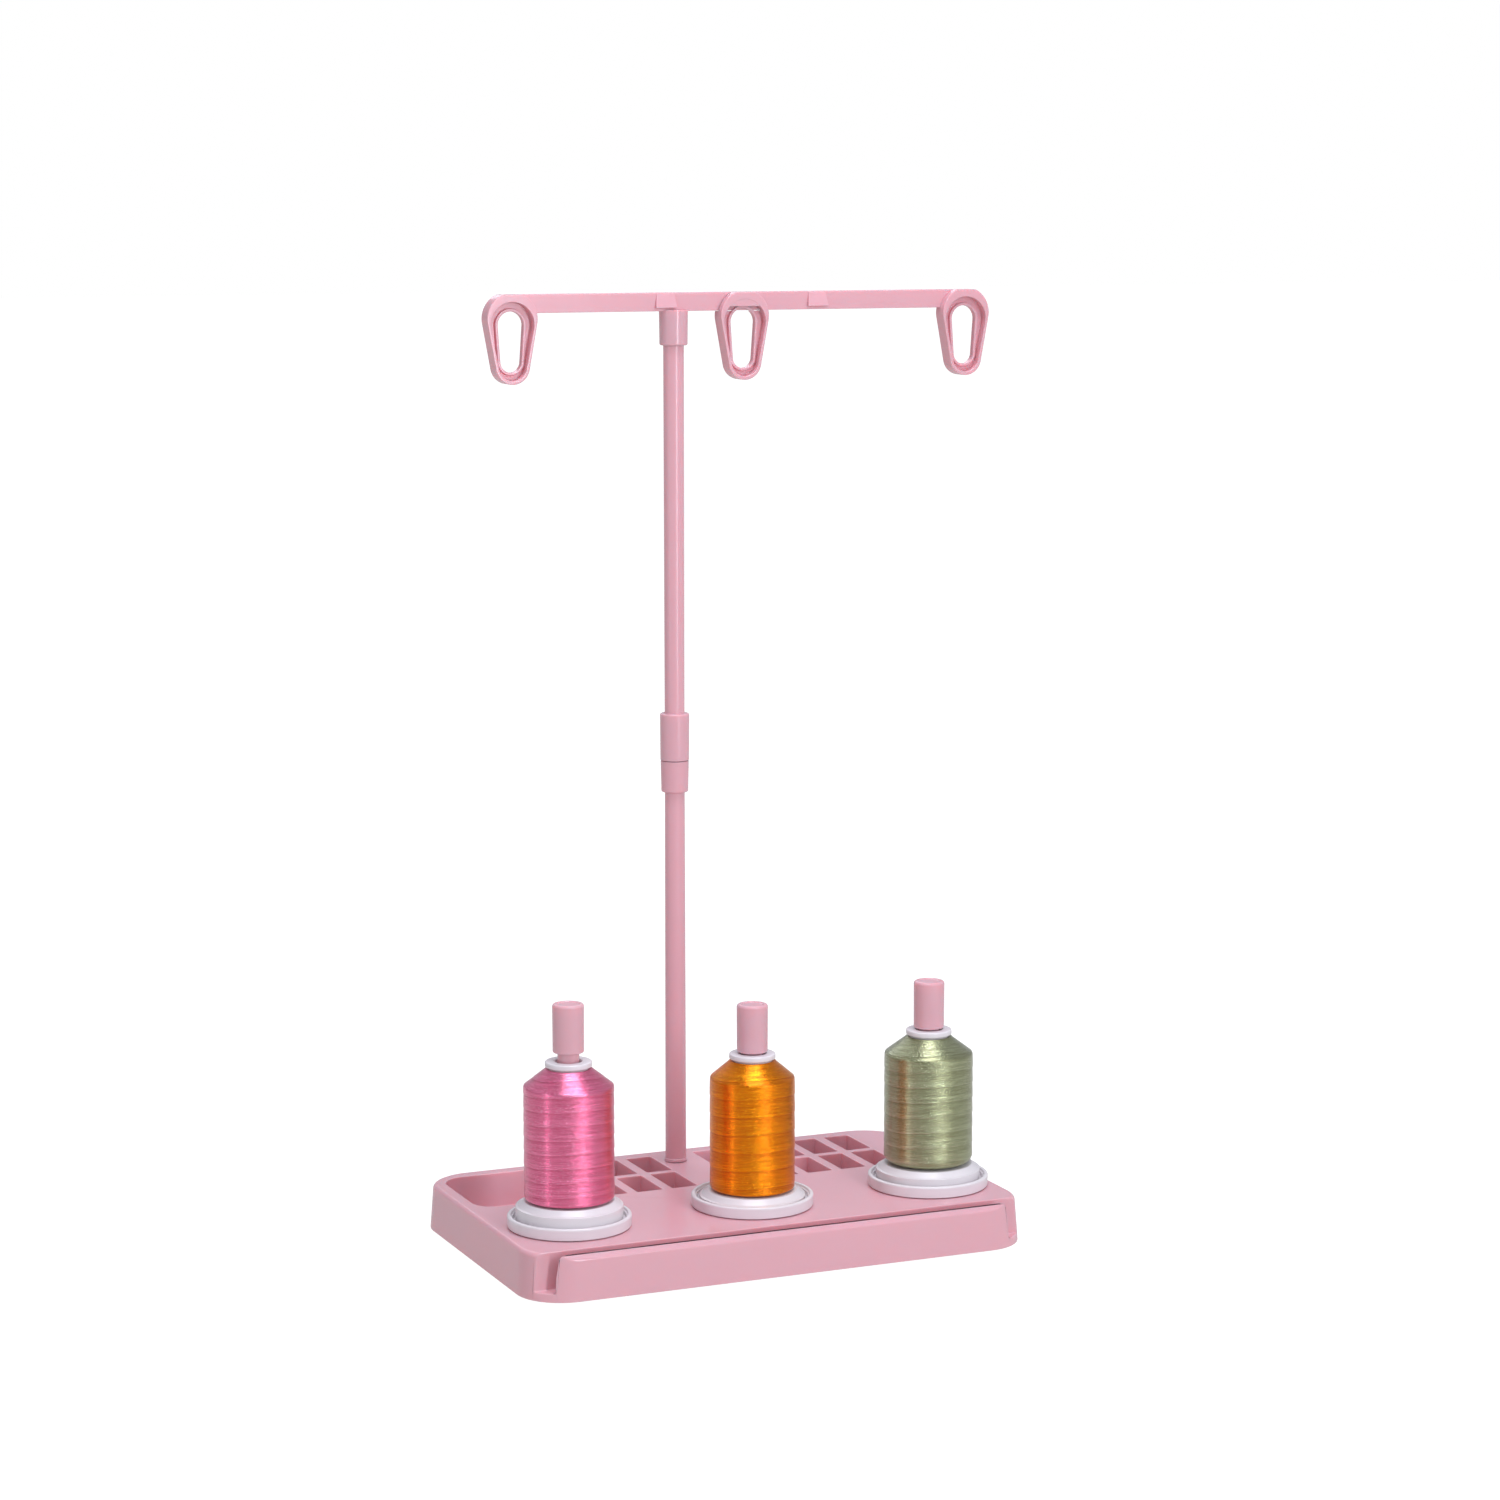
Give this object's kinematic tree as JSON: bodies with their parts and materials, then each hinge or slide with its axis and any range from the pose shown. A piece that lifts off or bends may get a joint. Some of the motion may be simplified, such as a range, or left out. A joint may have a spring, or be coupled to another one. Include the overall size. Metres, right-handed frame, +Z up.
{
  "type": "sewing thread spool stand",
  "caption": "Thread spool stand: a low rectangular base with bobbin slots, a tray and a front trough, a two-piece pole, a crossbar with thread guides, and capped pins holding thread spools.",
  "frame": {"origin": "under the middle of the whole stand's bounding box, on the surface the feet stand on", "axes": "+Z up along the pole, +X to the right along the long front edge seen from the front, -Y towards the user"},
  "size_m": [0.2815, 0.155, 0.432],
  "materials": {
    "pink_plastic": "semi-gloss moulded",
    "rubber_pad": "matte",
    "white_plastic": "translucent satin",
    "thread_pink": "lustrous polyester thread",
    "thread_orange": "lustrous polyester thread",
    "thread_green": "lustrous polyester thread"
  },
  "bodies": {
    "base": {"base_shell": "pink_plastic", "foot_front_left": "rubber_pad", "foot_front_right": "rubber_pad", "foot_back_left": "rubber_pad", "foot_back_right": "rubber_pad", "spool_pin_left": "pink_plastic", "spool_pin_middle": "pink_plastic", "spool_pin_right": "pink_plastic"},
    "pole_low": {"lower_pole": "pink_plastic"},
    "pole_high": {"upper_pole": "pink_plastic"},
    "bar": {"crossbar": "pink_plastic", "middle_guide": "pink_plastic"},
    "spool_left": {"spool_base_left": "white_plastic", "spool_core_left": "white_plastic", "thread_left": "thread_pink"},
    "cap_left": {"pin_cap_left": "pink_plastic"},
    "spool_middle": {"spool_base_middle": "white_plastic", "spool_core_middle": "white_plastic", "thread_middle": "thread_orange"},
    "cap_middle": {"pin_cap_middle": "pink_plastic"},
    "spool_right": {"spool_base_right": "white_plastic", "spool_core_right": "white_plastic", "thread_right": "thread_green"},
    "cap_right": {"pin_cap_right": "pink_plastic"}
  },
  "joints": [
    {"name": "spool_spin_left", "type": "hinge", "parent": "base", "child": "spool_left", "pos_m": [-0.10605, -0.0307, 0.0221], "axis": [0, 0, 1], "continuous": true},
    {"name": "cap_pull_left", "type": "slide", "parent": "base", "child": "cap_left", "axis": [0, 0, 1], "range_m": [-0.0035, 0.016]},
    {"name": "spool_spin_middle", "type": "hinge", "parent": "base", "child": "spool_middle", "pos_m": [-0.01705, -0.0307, 0.0221], "axis": [0, 0, 1], "continuous": true},
    {"name": "cap_pull_middle", "type": "slide", "parent": "base", "child": "cap_middle", "axis": [0, 0, 1], "range_m": [0, 0.016]},
    {"name": "spool_spin_right", "type": "hinge", "parent": "base", "child": "spool_right", "pos_m": [0.07195, -0.0307, 0.0221], "axis": [0, 0, 1], "continuous": true},
    {"name": "cap_pull_right", "type": "slide", "parent": "base", "child": "cap_right", "axis": [0, 0, 1], "range_m": [0, 0.016]},
    {"name": "lower_pole_pull", "type": "slide", "parent": "base", "child": "pole_low", "axis": [0, 0, 1], "range_m": [0, 0.015]},
    {"name": "upper_pole_pull", "type": "slide", "parent": "pole_low", "child": "pole_high", "axis": [0, 0, 1], "range_m": [0, 0.017]},
    {"name": "crossbar_swivel", "type": "hinge", "parent": "pole_high", "child": "bar", "pos_m": [-0.01875, 0.0558, 0.421], "axis": [0, 0, 1], "continuous": true}
  ]
}
